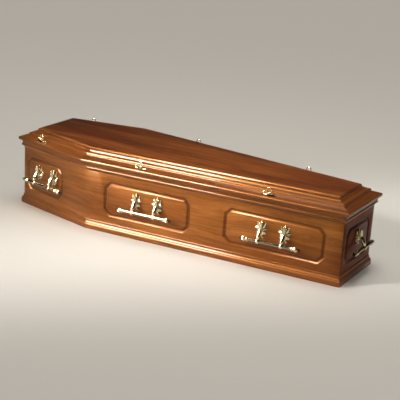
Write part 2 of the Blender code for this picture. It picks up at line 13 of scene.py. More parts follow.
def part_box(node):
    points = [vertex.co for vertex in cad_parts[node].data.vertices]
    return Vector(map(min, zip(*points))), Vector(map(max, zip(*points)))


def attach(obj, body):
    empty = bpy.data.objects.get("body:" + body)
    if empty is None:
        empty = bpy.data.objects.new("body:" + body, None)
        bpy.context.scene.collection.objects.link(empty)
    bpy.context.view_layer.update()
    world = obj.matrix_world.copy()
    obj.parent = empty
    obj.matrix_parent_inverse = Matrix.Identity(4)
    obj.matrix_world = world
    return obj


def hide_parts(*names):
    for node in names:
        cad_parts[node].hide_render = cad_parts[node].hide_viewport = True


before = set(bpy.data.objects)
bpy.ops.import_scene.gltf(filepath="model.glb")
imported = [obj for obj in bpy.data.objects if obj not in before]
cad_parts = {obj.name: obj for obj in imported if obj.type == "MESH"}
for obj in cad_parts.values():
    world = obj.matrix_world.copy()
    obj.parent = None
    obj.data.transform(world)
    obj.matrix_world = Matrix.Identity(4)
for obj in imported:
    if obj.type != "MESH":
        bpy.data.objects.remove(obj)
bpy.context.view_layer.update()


# Studio: camera, floor and lamps
# The camera stands where the photographer did, to the right of the near side and above it.
# The floor is pale paper. The light comes from the left and above, and two more softboxes
# only shine on the polish: a tall one draws the cream lines, a low one the side's sheen.

CAMERA_PLACE = Vector((2.6956, -4.5882, 1.9724))
CAMERA_YAW = math.radians(29.854)
CAMERA_PITCH = math.radians(18.660)
CAMERA_ROLL = math.radians(3.666)
FILM_WIDTH = 36.0
PHOTO_WIDTH = 400
FOCAL_LENGTH_IN_PIXELS = 1068.75


def srgb(code):
    """Turn an sRGB hex colour to linear values with full alpha."""
    levels = [int(code[i:i + 2], 16) / 255 for i in (1, 3, 5)]
    linear = [v / 12.92 if v <= 0.04045 else ((v + 0.055) / 1.055) ** 2.4 for v in levels]
    return (*linear, 1.0)


def add_node(tree, kind, values=None, **settings):
    """Add a node, then set or link its inputs."""
    node = tree.nodes.new(kind)
    for key, value in settings.items():
        setattr(node, key, value)
    for socket, value in (values or {}).items():
        if isinstance(value, bpy.types.NodeSocket):
            tree.links.new(value, node.inputs[socket])
        else:
            node.inputs[socket].default_value = value
    return node


def new_material(name):
    """A node material with its tree and its Principled shader."""
    material = bpy.data.materials.new(name)
    material.use_nodes = True
    tree = material.node_tree
    return material, tree, tree.nodes["Principled BSDF"]


def only(piece):
    """Select one object and nothing else."""
    bpy.ops.object.select_all(action="DESELECT")
    piece.select_set(True)
    bpy.context.view_layer.objects.active = piece


back = Vector((
    math.sin(CAMERA_YAW) * math.cos(CAMERA_PITCH),
    -math.cos(CAMERA_YAW) * math.cos(CAMERA_PITCH),
    math.sin(CAMERA_PITCH),
))
level = (-back).cross(Vector((0.0, 0.0, 1.0))).normalized()
upright = level.cross(-back)
right = level * math.cos(CAMERA_ROLL) + upright * math.sin(CAMERA_ROLL)
top = upright * math.cos(CAMERA_ROLL) - level * math.sin(CAMERA_ROLL)
bpy.ops.object.camera_add()
camera = bpy.context.object
camera_axes = Matrix((right, top, back)).transposed().to_4x4()
camera.matrix_world = Matrix.Translation(CAMERA_PLACE) @ camera_axes
camera.data.sensor_width = FILM_WIDTH
camera.data.lens = FILM_WIDTH * FOCAL_LENGTH_IN_PIXELS / PHOTO_WIDTH
bpy.context.scene.camera = camera

FLOOR_SIZE = 60.0
bpy.ops.mesh.primitive_plane_add(size=FLOOR_SIZE)
floor = bpy.context.object
floor.name = "studio_floor"
paper, _, paper_shader = new_material("matt_paper")
paper_shader.inputs["Base Color"].default_value = srgb("#d4d4d2")
paper_shader.inputs["Roughness"].default_value = 0.9
paper_shader.inputs["Specular IOR Level"].default_value = 0.0
floor.data.materials.append(paper)

world = bpy.data.worlds.new("studio")
world.use_nodes = True
world.node_tree.nodes["Background"].inputs["Color"].default_value = srgb("#b9bcc0")
world.node_tree.nodes["Background"].inputs["Strength"].default_value = 0.05
bpy.context.scene.world = world

# Turns and spreads of the lamps are in degrees.
OPEN_SPREAD = 180
SOFTBOXES = {
    "left_softbox": {"place": (-4.1, -5.3, 3.1), "turn": (66.0, 0, -39.8), "size": (0.6, 1.4),
                     "watts": 9.4, "spread": 16, "shines": False},
    "ceiling_softbox": {"place": (0.0, 0.0, 6.5), "turn": (0, 0, 0), "size": (44.0, 44.0),
                        "watts": 3700.0, "spread": 45, "shines": False},
    "overhead_softbox": {"place": (-0.1, 1.0, 3.4), "turn": (-17, 0, 0), "size": (2.5, 2.0),
                         "watts": 26.0},
    "tall_sheen_softbox": {"place": (-1.45, -2.4, 2.6), "turn": (47, 0, 0), "size": (1.35, 2.6),
                           "watts": 820.0, "lights": False},
    "low_sheen_softbox": {"place": (-2.5, -3.7, 0.45), "turn": (84, 0, -30), "size": (1.2, 0.8),
                          "watts": 95.0, "lights": False},
}
for lamp_name, lamp in SOFTBOXES.items():
    bpy.ops.object.light_add(type="AREA", location=lamp["place"],
                             rotation=[math.radians(angle) for angle in lamp["turn"]])
    softbox = bpy.context.object
    softbox.name = lamp_name
    softbox.data.shape = "RECTANGLE"
    softbox.data.size, softbox.data.size_y = lamp["size"]
    softbox.data.energy = lamp["watts"]
    softbox.data.color = srgb("#fff6ea")[:3]
    softbox.data.spread = math.radians(lamp.get("spread", OPEN_SPREAD))
    softbox.visible_camera = False
    softbox.visible_diffuse = lamp.get("lights", True)
    softbox.visible_glossy = lamp.get("shines", True)
bpy.context.scene.view_settings.view_transform = "Standard"


# Side, end and base boards
# Five boards of veneered panel 18 mm thick. Each long side is one board, saw-kerfed inside
# and bent round the shoulder, and the ends are mitred to it. A coved groove with clipped
# corners is routed round each panel before the mahogany veneer is laid and lacquered.

GAP = 0.0003
MITRE_PULL = 0.75 * GAP
BOARD = 0.018
BEND_REACH = 0.055
SHOULDER_X = -0.4385
SHOULDER_HALF_WIDTH = 0.306
GROOVE_RADIUS = 0.015
GROOVE_DEPTH = 0.006
GROOVE_STEPS = 14
# Painted shade in the grooves grows with depth by this gain.
GROOVE_SHADE_GAIN = 1.4
PANEL_BOTTOM = 0.087
PANEL_TOP = 0.2795
PANEL_CLIP = 0.033
EDGE_WEAR = 0.0007
GRAIN_SHIFT_ALONG = 7.3
GRAIN_SHIFT_ACROSS = 3.1

head_low, head_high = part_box("head_board")
foot_low, foot_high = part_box("foot_board")
BODY_HEIGHT = head_high.z
HEAD_CORNER = Vector((head_low.x, head_low.y - MITRE_PULL))
FOOT_CORNER = Vector((foot_high.x, foot_low.y - MITRE_PULL))
EDGE_NAMES = ("right_head", "right_foot", "foot_end", "left_foot", "left_head", "head_end")
RIGHT_HEAD, RIGHT_FOOT, FOOT_END, LEFT_FOOT, LEFT_HEAD, HEAD_END = range(6)


def plan_of(near_corners):
    """Six corners, counter-clockwise, from the three of the near side."""
    far_corners = [Vector((corner.x, -corner.y)) for corner in reversed(near_corners)]
    return near_corners + far_corners


BODY_PLAN = plan_of([HEAD_CORNER, Vector((SHOULDER_X, -SHOULDER_HALF_WIDTH)), FOOT_CORNER])


def edge_axes(plan, edge):
    """Unit vectors along an edge of the plan and out of it."""
    along = (plan[(edge + 1) % 6] - plan[edge]).normalized()
    return along, Vector((along.y, -along.x))


def corner_at(plan, corner, offset):
    """A corner of the plan, moved outwards by an offset."""
    before = edge_axes(plan, (corner - 1) % 6)[1]
    after = edge_axes(plan, corner)[1]
    return plan[corner] + (before + after) * offset / (1 + before.dot(after))


def bend_arc(corner, offset, steps=16):
    """Points round a shoulder, where the side board is bent."""
    before = edge_axes(BODY_PLAN, corner - 1)[1]
    after = edge_axes(BODY_PLAN, corner)[1]
    turn = before.angle(after)
    radius = BEND_REACH / math.tan(turn / 2)
    centre = BODY_PLAN[corner] - (before + after).normalized() * radius / math.cos(turn / 2)
    start = math.atan2(before.y, before.x)
    angles = [start + turn * step / steps for step in range(steps + 1)]
    return [centre + Vector((math.cos(a), math.sin(a))) * (radius + offset) for a in angles]


def outline_face(name, points):
    """A flat face with the given corners, from a filled circle of as many."""
    bpy.ops.object.select_all(action="DESELECT")
    bpy.ops.mesh.primitive_circle_add(vertices=len(points), fill_type="NGON")
    piece = bpy.context.object
    piece.name = name
    for vertex, point in zip(piece.data.vertices, points):
        vertex.co = point
    return piece


def extruded(piece, shift):
    """Extrude a flat face into a closed solid with its faces outwards."""
    only(piece)
    bpy.ops.object.mode_set(mode="EDIT")
    bpy.ops.mesh.select_all(action="SELECT")
    bpy.ops.mesh.extrude_region_move(TRANSFORM_OT_translate={"value": shift})
    bpy.ops.mesh.select_all(action="SELECT")
    bpy.ops.mesh.normals_make_consistent(inside=False)
    bpy.ops.object.mode_set(mode="OBJECT")
    return piece


def prism(name, outline, bottom, height):
    """A plan outline raised from a level by a height."""
    return extruded(outline_face(name, [(x, y, bottom) for x, y in outline]), (0.0, 0.0, height))


def apply_modifier(piece, kind, **settings):
    """Add a modifier with its settings and apply it."""
    only(piece)
    modifier = piece.modifiers.new(kind.lower(), kind)
    for key, value in settings.items():
        setattr(modifier, key, value)
    bpy.ops.object.modifier_apply(modifier=modifier.name)


def cut(piece, cutter, keep_cutter=False):
    """Take one closed shape away from another."""
    apply_modifier(piece, "BOOLEAN", operation="DIFFERENCE", solver="EXACT", object=cutter)
    if not keep_cutter:
        bpy.data.objects.remove(cutter)


def seal():
    """Merge the doubled points of the active piece and turn its faces outwards."""
    bpy.ops.object.mode_set(mode="EDIT")
    bpy.ops.mesh.select_all(action="SELECT")
    bpy.ops.mesh.remove_doubles(threshold=0.00001)
    bpy.ops.mesh.normals_make_consistent(inside=False)
    bpy.ops.object.mode_set(mode="OBJECT")


def soften(piece, width, angle=35.0, segments=2):
    """Take the sharpness off the edges and shade the rest smooth."""
    apply_modifier(piece, "BEVEL", width=width, segments=segments, limit_method="ANGLE",
                   angle_limit=math.radians(angle), harden_normals=False)
    bpy.ops.object.shade_smooth_by_angle(angle=math.radians(angle))


def lay_grain(piece, axes, origin, seed, axes_before=None):
    """Keep each point's place along the grain, across it and up, for the wood's pattern.

    A bent board has other axes before its bend, which is at the origin. The seed moves each
    piece to another part of the log.
    """
    grain = piece.data.attributes.new("grain", "FLOAT_VECTOR", "POINT")
    for value, vertex in zip(grain.data, piece.data.vertices):
        place = vertex.co.xy - origin
        along, out = axes_before if axes_before and place.dot(axes[0]) < 0 else axes
        value.vector = (place.dot(along) + GRAIN_SHIFT_ALONG * seed,
                        place.dot(out) + GRAIN_SHIFT_ACROSS * seed, vertex.co.z)


def facing(plan, edge, along, offset, height):
    """Frame on a face: X along it to the right, Y into it, Z up, seen from outside.

    A long side is measured from its shoulder and an end from its middle.
    """
    direction, normal = edge_axes(plan, edge)
    if edge in (RIGHT_FOOT, LEFT_HEAD):
        start = plan[edge] + direction * along
    elif edge in (RIGHT_HEAD, LEFT_FOOT):
        start = plan[edge + 1] - direction * along
    else:
        start = (plan[edge] + plan[(edge + 1) % 6]) / 2 + direction * along
    place = start + normal * offset
    axes = Matrix(((direction.x, -normal.x, 0), (direction.y, -normal.y, 0), (0, 0, 1)))
    return Matrix.Translation((place.x, place.y, height)) @ axes.to_4x4()


def rout_panel(board, edge, centre, length):
    """Rout the coved groove of one panel, eight-sided with its corners clipped."""
    half_groove = math.sqrt(GROOVE_RADIUS**2 - (GROOVE_RADIUS - GROOVE_DEPTH) ** 2)
    x = length / 2 - half_groove
    z = (PANEL_TOP - PANEL_BOTTOM) / 2 - half_groove
    clip = PANEL_CLIP - half_groove * math.tan(math.pi / 8)
    quarter = [(x, z - clip), (x - clip, z)]
    half = quarter + [(-px, pz) for px, pz in reversed(quarter)]
    path = half + [(-px, -pz) for px, pz in half]
    bpy.ops.object.select_all(action="DESELECT")
    bpy.ops.mesh.primitive_circle_add(vertices=len(path), fill_type="NOTHING")
    cutter = bpy.context.object
    height = (PANEL_TOP + PANEL_BOTTOM) / 2
    place = facing(BODY_PLAN, edge, centre, GROOVE_RADIUS - GROOVE_DEPTH, height)
    for vertex, (px, pz) in zip(cutter.data.vertices, path):
        vertex.co = place @ Vector((px, 0.0, pz))
    bpy.ops.object.convert(target="CURVE")
    cutter.data.bevel_depth = GROOVE_RADIUS
    cutter.data.bevel_resolution = GROOVE_STEPS
    bpy.ops.object.convert(target="MESH")
    seal()
    cut(board, cutter)


def paint_groove_shade(board, panels):
    """Keep how deep in its groove each point lies, from 0 to 1, for painted shade in the grooves.
    """
    groove_shade = board.data.attributes.new("groove_shade", "FLOAT", "POINT")
    half_height = (PANEL_TOP - PANEL_BOTTOM) / 2
    for edge, centre, length in panels:
        to_face = facing(BODY_PLAN, edge, centre, 0.0, PANEL_BOTTOM + half_height).inverted()
        for value, vertex in zip(groove_shade.data, board.data.vertices):
            x, depth, z = to_face @ vertex.co
            if abs(x) <= length / 2 and abs(z) <= half_height and depth <= GROOVE_DEPTH + GAP:
                value.value = min(1.0, max(0.0, GROOVE_SHADE_GAIN * depth / GROOVE_DEPTH))


BEND_OF_GRAIN = (1.6, 5.0, 5.0)
SWAY_OF_GRAIN = (0.0, 0.09, 0.09)
GRAIN_LAYERS = {
    "tone": {"stretch": (0.9, 9.0, 9.0), "detail": 2.0, "roughness": 0.5},
    "ribbon": {"stretch": (2.2, 62.0, 62.0), "detail": 3.0, "roughness": 0.6},
    "fibre": {"stretch": (7.0, 330.0, 330.0), "detail": 3.0, "roughness": 0.6},
    "pore": {"stretch": (60.0, 1500.0, 1500.0), "detail": 1.0, "roughness": 0.4},
}
TONE_SHARE = 0.42
RIBBON_SHARE = 0.36
FIBRE_SHARE = 0.22


def lacquered_mahogany(name, dark, middle, light, red, satin=0.6, coat=0.42, coat_roughness=0.055):
    """Mahogany under gloss lacquer: sliced veneer or milled solid, stained and sprayed.

    Broad tones a hand wide drift along the grain, with ribbons of 10 to 20 mm, fibre lines of
    2 to 4 mm and short dark pores in them, all stretched along the grain. The wood itself is
    satin and slightly golden where light meets it square. The lacquer over it is sharp, so
    lamps show as clean pale lines. The grooves are darkened with painted shade.
    """
    material, tree, shader = new_material(name)
    grain = add_node(tree, "ShaderNodeAttribute", attribute_name="grain").outputs["Vector"]
    slow_place = add_node(tree, "ShaderNodeVectorMath", {0: grain, 1: BEND_OF_GRAIN},
                          operation="MULTIPLY")
    slow = add_node(tree, "ShaderNodeTexNoise", {
        "Vector": slow_place.outputs[0], "Scale": 1.0, "Detail": 2.0})
    sway = add_node(tree, "ShaderNodeVectorMath", {0: slow.outputs["Color"], 1: SWAY_OF_GRAIN},
                    operation="MULTIPLY")
    wavy = add_node(tree, "ShaderNodeVectorMath", {0: grain, 1: sway.outputs[0]}, operation="ADD")
    layers = {}
    for layer, pattern in GRAIN_LAYERS.items():
        spot = add_node(tree, "ShaderNodeVectorMath", {0: wavy.outputs[0], 1: pattern["stretch"]},
                        operation="MULTIPLY")
        noise = add_node(tree, "ShaderNodeTexNoise", {
            "Vector": spot.outputs[0], "Scale": 1.0, "Detail": pattern["detail"],
            "Roughness": pattern["roughness"]})
        layers[layer] = noise.outputs["Fac"]
    blend = add_node(tree, "ShaderNodeMath", {0: layers["tone"], 1: TONE_SHARE},
                     operation="MULTIPLY")
    for layer, share in (("ribbon", RIBBON_SHARE), ("fibre", FIBRE_SHARE)):
        blend = add_node(tree, "ShaderNodeMath", {0: layers[layer], 1: share, 2: blend.outputs[0]},
                         operation="MULTIPLY_ADD")
    ramp = add_node(tree, "ShaderNodeValToRGB", {"Fac": blend.outputs[0]})
    ramp.color_ramp.interpolation = "B_SPLINE"
    ramp.color_ramp.elements[0].position = 0.38
    ramp.color_ramp.elements[0].color = srgb(dark)
    ramp.color_ramp.elements[1].position = 0.62
    ramp.color_ramp.elements[1].color = srgb(light)
    ramp.color_ramp.elements.new(0.50).color = srgb(middle)
    redness = add_node(tree, "ShaderNodeMapRange", {
        "Value": slow.outputs["Fac"], "From Min": 0.46, "From Max": 0.68,
        "To Min": 0.0, "To Max": 0.45})
    toned = add_node(tree, "ShaderNodeMix", {
        "Factor": redness.outputs[0], "A": ramp.outputs["Color"], "B": srgb(red)}, data_type="RGBA")
    pores = add_node(tree, "ShaderNodeMapRange", {
        "Value": layers["pore"], "From Min": 0.60, "From Max": 0.72, "To Min": 1.0, "To Max": 0.60})
    porous = add_node(tree, "ShaderNodeMix", {
        "Factor": 1.0, "A": toned.outputs["Result"], "B": pores.outputs[0]},
        data_type="RGBA", blend_type="MULTIPLY")
    # Painted shade: the grooves are painted darker, and darker the deeper a point lies in them.
    groove_shade = add_node(tree, "ShaderNodeAttribute", attribute_name="groove_shade").outputs["Fac"]
    final = add_node(tree, "ShaderNodeMix", {
        "Factor": groove_shade, "A": porous.outputs["Result"], "B": srgb("#bea596")},
        data_type="RGBA", blend_type="MULTIPLY")
    rough = add_node(tree, "ShaderNodeMapRange", {
        "Value": layers["fibre"], "From Min": 0.3, "From Max": 0.7, "To Min": 0.42, "To Max": 0.34})
    bump = add_node(tree, "ShaderNodeBump", {
        "Strength": 0.10, "Distance": 0.0003, "Height": layers["fibre"]})
    tree.links.new(final.outputs["Result"], shader.inputs["Base Color"])
    tree.links.new(rough.outputs[0], shader.inputs["Roughness"])
    tree.links.new(bump.outputs["Normal"], shader.inputs["Normal"])
    shader.inputs["Metallic"].default_value = 0.05
    shader.inputs["IOR"].default_value = 1.5
    shader.inputs["Specular IOR Level"].default_value = satin
    shader.inputs["Specular Tint"].default_value = srgb("#ffb661")
    shader.inputs["Coat Weight"].default_value = coat
    shader.inputs["Coat Roughness"].default_value = coat_roughness
    shader.inputs["Coat IOR"].default_value = 1.5
    return material


SIDE_VENEER = lacquered_mahogany(
    "lacquered_mahogany_side_veneer", "#5a290c", "#844c1d", "#a4662b", "#702f10",
    coat=0.24, coat_roughness=0.11)
# The end boards' veneer is painted darker than the sides' as painted shade on the ends.
SHADED_END_VENEER = lacquered_mahogany(
    "lacquered_mahogany_end_veneer_painted_shade", "#4b1a06", "#702f0d", "#8f4616", "#602008",
    satin=0.06, coat=0.10, coat_roughness=0.10)


def dress_board(board, name, edge, panels, veneer, seed, axes_before=None):
    """Give a board its panels, softened edges, grain and finish in place of the node."""
    for panel_edge, centre, length in panels:
        rout_panel(board, panel_edge, centre, length)
    soften(board, EDGE_WEAR)
    paint_groove_shade(board, panels)
    lay_grain(board, edge_axes(BODY_PLAN, edge), BODY_PLAN[edge], seed, axes_before)
    board.data.materials.append(veneer)
    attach(board, "root")
    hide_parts(name)


HEAD_PANEL_FROM_SHOULDER = 0.195
HEAD_PANEL_FROM_CORNER = 0.021
MIDDLE_PANEL_FROM_SHOULDER = 0.096
MIDDLE_PANEL_LENGTH = 0.504
FOOT_PANEL_FROM_CORNER = 0.078
FOOT_PANEL_LENGTH = 0.537
END_PANEL_FROM_CORNER = 0.040

head_face = (BODY_PLAN[1] - BODY_PLAN[0]).length
foot_face = (BODY_PLAN[2] - BODY_PLAN[1]).length
head_panel = head_face - HEAD_PANEL_FROM_SHOULDER - HEAD_PANEL_FROM_CORNER
head_centre = HEAD_PANEL_FROM_SHOULDER + head_panel / 2
middle_centre = MIDDLE_PANEL_FROM_SHOULDER + MIDDLE_PANEL_LENGTH / 2
foot_centre = foot_face - FOOT_PANEL_FROM_CORNER - FOOT_PANEL_LENGTH / 2

for seed, (name, first, shoulder, last, head_edge, foot_edge) in enumerate((
    ("side_board_right", 0, 1, 2, RIGHT_HEAD, RIGHT_FOOT),
    ("side_board_left", 3, 4, 5, LEFT_HEAD, LEFT_FOOT),
)):
    start_pull = edge_axes(BODY_PLAN, first)[0] * MITRE_PULL
    end_pull = edge_axes(BODY_PLAN, shoulder)[0] * MITRE_PULL
    outline = []
    for offset in (0.0, -BOARD):
        start_point = corner_at(BODY_PLAN, first, offset) + start_pull
        end_point = corner_at(BODY_PLAN, last, offset) - end_pull
        line = [start_point] + bend_arc(shoulder, offset) + [end_point]
        outline += line if offset == 0.0 else list(reversed(line))
    side_board = prism("veneered_" + name, outline, 0.0, BODY_HEIGHT)
    panels = ((head_edge, head_centre, head_panel),
              (foot_edge, middle_centre, MIDDLE_PANEL_LENGTH),
              (foot_edge, foot_centre, FOOT_PANEL_LENGTH))
    dress_board(side_board, name, shoulder, panels, SIDE_VENEER, seed, edge_axes(BODY_PLAN, first))

for seed, (name, edge) in enumerate((("head_board", HEAD_END), ("foot_board", FOOT_END)), start=2):
    pull = edge_axes(BODY_PLAN, edge)[0] * MITRE_PULL
    after = (edge + 1) % 6
    outline = [corner_at(BODY_PLAN, edge, 0.0) + pull,
               corner_at(BODY_PLAN, after, 0.0) - pull,
               corner_at(BODY_PLAN, after, -BOARD) - pull,
               corner_at(BODY_PLAN, edge, -BOARD) + pull]
    end_board = prism("veneered_" + name, outline, 0.0, BODY_HEIGHT)
    panel = (BODY_PLAN[after] - BODY_PLAN[edge]).length - 2 * END_PANEL_FROM_CORNER
    dress_board(end_board, name, edge, ((edge, 0.0, panel),), SHADED_END_VENEER, seed)


def plain_board():
    """Unlacquered board for the hidden bottom: flat and dry, with a faint grain."""
    material, tree, shader = new_material("bare_baseboard")
    place = add_node(tree, "ShaderNodeTexCoord").outputs["Object"]
    stretched = add_node(tree, "ShaderNodeVectorMath", {0: place, 1: (3.0, 60.0, 60.0)},
                         operation="MULTIPLY")
    streak = add_node(tree, "ShaderNodeTexNoise", {
        "Vector": stretched.outputs[0], "Scale": 1.0, "Detail": 4.0})
    ramp = add_node(tree, "ShaderNodeValToRGB", {"Fac": streak.outputs["Fac"]})
    ramp.color_ramp.elements[0].color = srgb("#a98256")
    ramp.color_ramp.elements[1].color = srgb("#c9a678")
    tree.links.new(ramp.outputs["Color"], shader.inputs["Base Color"])
    shader.inputs["Roughness"].default_value = 0.75
    return material


base_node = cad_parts["base_board"]
base_node.data.materials.clear()
base_node.data.materials.append(plain_board())


# Plinth and cornice mouldings
# Mahogany mouldings milled in lengths, mitred at the six corners and glued round the foot
# and the top of the box. The plinth steps in by a nose, a bead, a cove and a top bead, and
# the cornice comes out by a cove and a bead to a flat band under the lid.

MOULDING_BACK = 0.010
PLINTH_HEIGHT = 0.0505
PLINTH_DEPTH = 0.012
PLINTH_NOSE_HEIGHT = 0.0205
PLINTH_QUIRK_IN = 0.0040
PLINTH_QUIRK_UP = 0.0075
PLINTH_BEAD_IN = 0.0055
PLINTH_BEAD_UP = 0.0140
PLINTH_COVE_IN = 0.0090
PLINTH_COVE_DOWN = 0.0055
PLINTH_TOP_DEPTH = 0.0005
CORNICE_HEIGHT = 0.044
CORNICE_DEPTH = 0.0135
CORNICE_BAND_DEPTH = 0.010
CORNICE_FOOT_DEPTH = 0.0015
CORNICE_COVE_IN = 0.0050
CORNICE_COVE_UP = 0.0110
CORNICE_BEAD_IN = 0.0010
CORNICE_BEAD_UP = 0.0225
CORNICE_BAND_UP = 0.0240
SAW_OVERRUN = 0.15
SMOOTH_ANGLE = 32
MOULDING_WOOD = lacquered_mahogany(
    "lacquered_mahogany_moulding", "#4a2009", "#79421b", "#965827", "#682c10")


def bow(start, end, bulge, steps):
    """Points after the start of an arc. The bulge is the tangent of a quarter of its angle."""
    start = Vector(start)
    end = Vector(end)
    chord = end - start
    side = Vector((-chord.y, chord.x))
    centre = (start + end) / 2 + side * (1 - bulge * bulge) / (4 * bulge)
    arm = start - centre
    turn = 4 * math.atan(bulge) / steps
    return [tuple(centre + arm @ Matrix.Rotation(-turn * step, 2)) for step in range(1, steps + 1)]


def plinth_section():
    """Nose, quirk, bead, cove and top bead, from the floor up."""
    nose = (PLINTH_DEPTH, PLINTH_NOSE_HEIGHT)
    quirk = (PLINTH_DEPTH - PLINTH_QUIRK_IN, PLINTH_NOSE_HEIGHT + PLINTH_QUIRK_UP)
    bead = (PLINTH_DEPTH - PLINTH_BEAD_IN, PLINTH_NOSE_HEIGHT + PLINTH_BEAD_UP)
    cove = (PLINTH_DEPTH - PLINTH_COVE_IN, PLINTH_HEIGHT - PLINTH_COVE_DOWN)
    top_edge = (PLINTH_TOP_DEPTH, PLINTH_HEIGHT)
    points = [(-MOULDING_BACK, 0.0), (PLINTH_DEPTH, 0.0), nose]
    points += bow(nose, quirk, 0.33, 10)
    points += bow(quirk, bead, 0.75, 12)
    points += bow(bead, cove, -0.30, 8)
    points += bow(cove, top_edge, 0.70, 12)
    return points + [(-MOULDING_BACK, PLINTH_HEIGHT)]


def cornice_section():
    """Cove, bead and flat band, up to the top of the walls."""
    bottom = BODY_HEIGHT - CORNICE_HEIGHT
    foot = (CORNICE_FOOT_DEPTH, bottom)
    cove = (CORNICE_DEPTH - CORNICE_COVE_IN, bottom + CORNICE_COVE_UP)
    bead = (CORNICE_BAND_DEPTH - CORNICE_BEAD_IN, bottom + CORNICE_BEAD_UP)
    band = (CORNICE_BAND_DEPTH, bottom + CORNICE_BAND_UP)
    points = [(-MOULDING_BACK, bottom), foot]
    points += bow(foot, cove, -0.30, 8)
    points += bow(cove, bead, 0.85, 14)
    points += [band, (CORNICE_BAND_DEPTH, BODY_HEIGHT), (-MOULDING_BACK, BODY_HEIGHT)]
    return points


def mitred_length(name, section, plan, edge):
    """Run a section along an edge and saw its ends on the mitres."""
    along, out = edge_axes(plan, edge)
    overrun = along * SAW_OVERRUN
    start = plan[edge] - overrun
    points = [(*(start + out * offset), height) for offset, height in section]
    run = plan[(edge + 1) % 6] - plan[edge] + 2 * overrun
    piece = extruded(outline_face(name, points), (run.x, run.y, 0.0))
    bpy.ops.object.mode_set(mode="EDIT")
    for corner, pull in ((edge, MITRE_PULL), ((edge + 1) % 6, -MITRE_PULL)):
        line = corner_at(plan, corner, 1.0) - plan[corner]
        saw = Vector((line.y, -line.x)).normalized()
        if saw.dot(along) * pull < 0:
            saw = -saw
        place = plan[corner] + along * pull
        bpy.ops.mesh.select_all(action="SELECT")
        bpy.ops.mesh.bisect(plane_co=(*place, 0.0), plane_no=(*saw, 0.0), use_fill=True,
                            clear_inner=True)
    bpy.ops.mesh.select_all(action="SELECT")
    bpy.ops.mesh.normals_make_consistent(inside=False)
    bpy.ops.object.mode_set(mode="OBJECT")
    return piece


def dress_moulding(piece, node, plan, edge, seed):
    """Give a mitred length its grain and finish in place of the node."""
    only(piece)
    bpy.ops.object.shade_smooth_by_angle(angle=math.radians(SMOOTH_ANGLE))
    lay_grain(piece, edge_axes(plan, edge), plan[edge], seed)
    piece.data.materials.append(MOULDING_WOOD)
    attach(piece, "root")
    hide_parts(node)


body_outline = [corner_at(BODY_PLAN, 0, GAP), *bend_arc(1, GAP), corner_at(BODY_PLAN, 2, GAP),
                corner_at(BODY_PLAN, 3, GAP), *bend_arc(4, GAP), corner_at(BODY_PLAN, 5, GAP)]
body_space = prism("body_space", body_outline, -BODY_HEIGHT, 3 * BODY_HEIGHT)
PLINTH_SEED = 10
CORNICE_SEED = 16
for moulding, section, seed in (("plinth", plinth_section(), PLINTH_SEED),
                                ("cornice", cornice_section(), CORNICE_SEED)):
    for edge, place in enumerate(EDGE_NAMES):
        node = f"{moulding}_{place}"
        length = mitred_length("milled_" + node, section, BODY_PLAN, edge)
        cut(length, body_space, keep_cutter=True)
        dress_moulding(length, node, BODY_PLAN, edge, seed + edge)
bpy.data.objects.remove(body_space)


# Lid mouldings
# Six mitred lengths of one wide moulding: a flange with a rounded nose that oversails the
# box, a step, a fat bead and a cove up to the ledge that carries the panel. They are hollow
# behind, because they are milled from thin stock and glued up at an angle.

LID_SHOULDER_SHIFT = 0.028
LID_OVERHANG = 0.0265
LID_SEAT = 0.020
FLANGE_EDGE_HEIGHT = 0.0102
FLANGE_NOSE = 0.007
FLANGE_INNER = 0.0165
FLANGE_RISE = 0.0288
FLANGE_UNDER_ROUND = 0.0025
STEP_IN = 0.0025
STEP_UP = 0.0035
BEAD_INNER = 0.033
BEAD_RISE = 0.0388
QUIRK_IN = 0.0015
QUIRK_UP = 0.0005
HOLLOW_IN = 0.006
HOLLOW_RISE = 0.014
LEDGE_OUTER = 0.050
LEDGE_INNER = 0.085
LEDGE_RISE = 0.0503
LEDGE_THICKNESS = 0.015
LID_BOTTOM = BODY_HEIGHT + GAP
LID_MOULDING_SEED = 30
shoulder_slope = (SHOULDER_HALF_WIDTH + FOOT_CORNER.y) / (FOOT_CORNER.x - SHOULDER_X)
lid_shoulder = Vector((SHOULDER_X - LID_SHOULDER_SHIFT,
                       -SHOULDER_HALF_WIDTH - LID_SHOULDER_SHIFT * shoulder_slope))
LID_PLAN = plan_of([HEAD_CORNER, lid_shoulder, FOOT_CORNER])


def lid_section():
    """Flange, step, bead, cove and ledge, hollow underneath."""
    low = LID_BOTTOM
    underside_edge = (LID_OVERHANG - FLANGE_UNDER_ROUND, low)
    under_nose = (LID_OVERHANG, low + FLANGE_UNDER_ROUND)
    edge_top = (LID_OVERHANG, low + FLANGE_EDGE_HEIGHT)
    nose = (LID_OVERHANG - FLANGE_NOSE, low + FLANGE_EDGE_HEIGHT + FLANGE_NOSE)
    flange = (-FLANGE_INNER, low + FLANGE_RISE)
    step = (-FLANGE_INNER - STEP_IN, low + FLANGE_RISE + STEP_UP)
    bead = (-BEAD_INNER, low + BEAD_RISE)
    quirk = (-BEAD_INNER - QUIRK_IN, low + BEAD_RISE + QUIRK_UP)
    ledge = (-LEDGE_OUTER, low + LEDGE_RISE)
    underside = low + LEDGE_RISE - LEDGE_THICKNESS
    points = [(-LID_SEAT, low), underside_edge]
    points += bow(underside_edge, under_nose, math.tan(math.pi / 8), 5) + [edge_top]
    points += bow(edge_top, nose, 0.38, 12) + [flange]
    points += bow(flange, step, -0.35, 5)
    points += bow(step, bead, 0.80, 18) + [quirk]
    points += bow(quirk, ledge, -0.36, 12)
    points += [(-LEDGE_INNER, low + LEDGE_RISE), (-LEDGE_INNER, underside)]
    points += [(-LEDGE_OUTER, underside), (-LID_SEAT - HOLLOW_IN, low + HOLLOW_RISE)]
    return points


